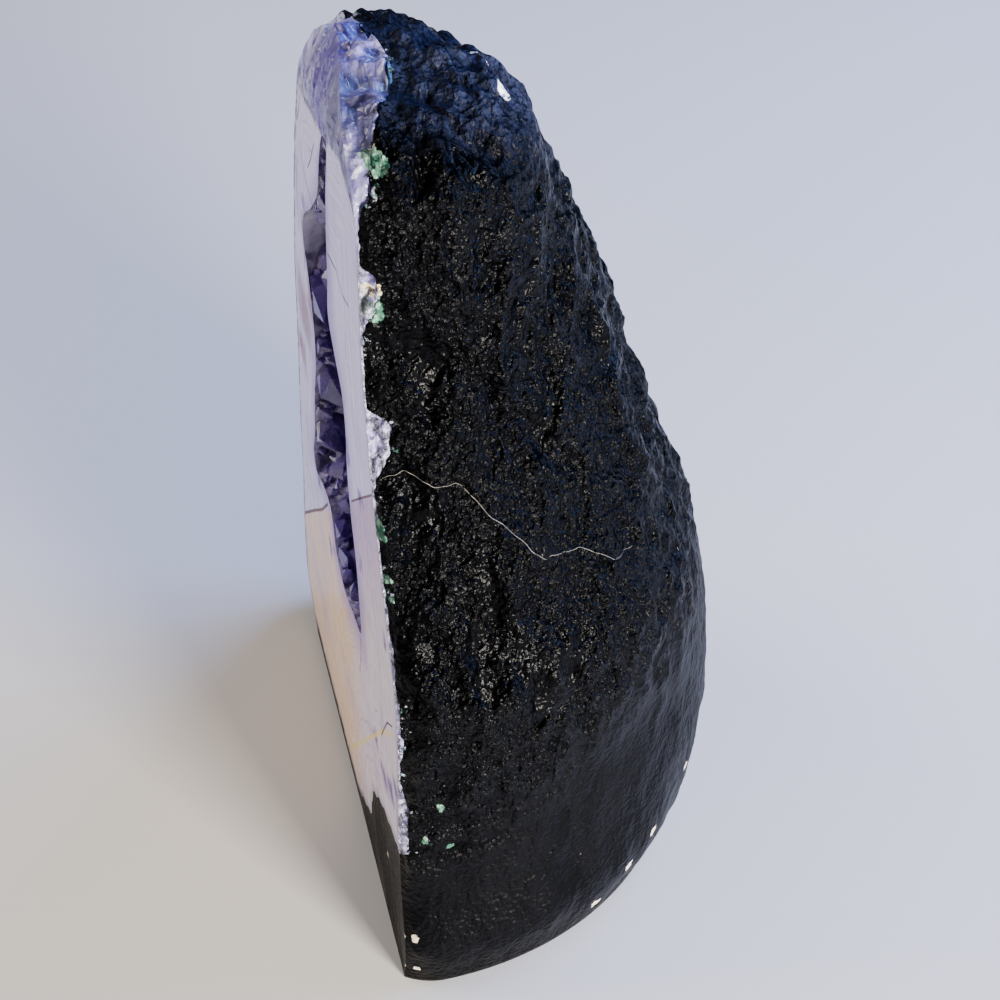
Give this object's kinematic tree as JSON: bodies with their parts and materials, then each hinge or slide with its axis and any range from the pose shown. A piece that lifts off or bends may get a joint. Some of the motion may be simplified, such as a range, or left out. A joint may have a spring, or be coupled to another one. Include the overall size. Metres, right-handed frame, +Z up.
{
  "type": "amethyst geode",
  "caption": "Split cathedral geode on a levelled base: polished quartz face around a crystal-lined hollow, rough dark-painted back. Decorative mineral specimen.",
  "frame": {"origin": "centre of the bounding box's underside, on the levelled base", "axes": "+Z up from the base, the polished cut face looks along -Y, +X to the right when the face is seen from the front"},
  "size_m": [0.1896, 0.1236, 0.3006],
  "materials": {
    "black_painted_rock": "rough rock with a skin of satin to glossy black paint",
    "pale_quartz": "sawn and polished in front, broken and matte along the edge",
    "amethyst_crystal": "flat glossy natural crystal faces, clear purple"
  },
  "bodies": {
    "root": {"painted_rind": "black_painted_rock", "quartz_wall": "pale_quartz", "amethyst_crust": "amethyst_crystal"}
  },
  "joints": []
}
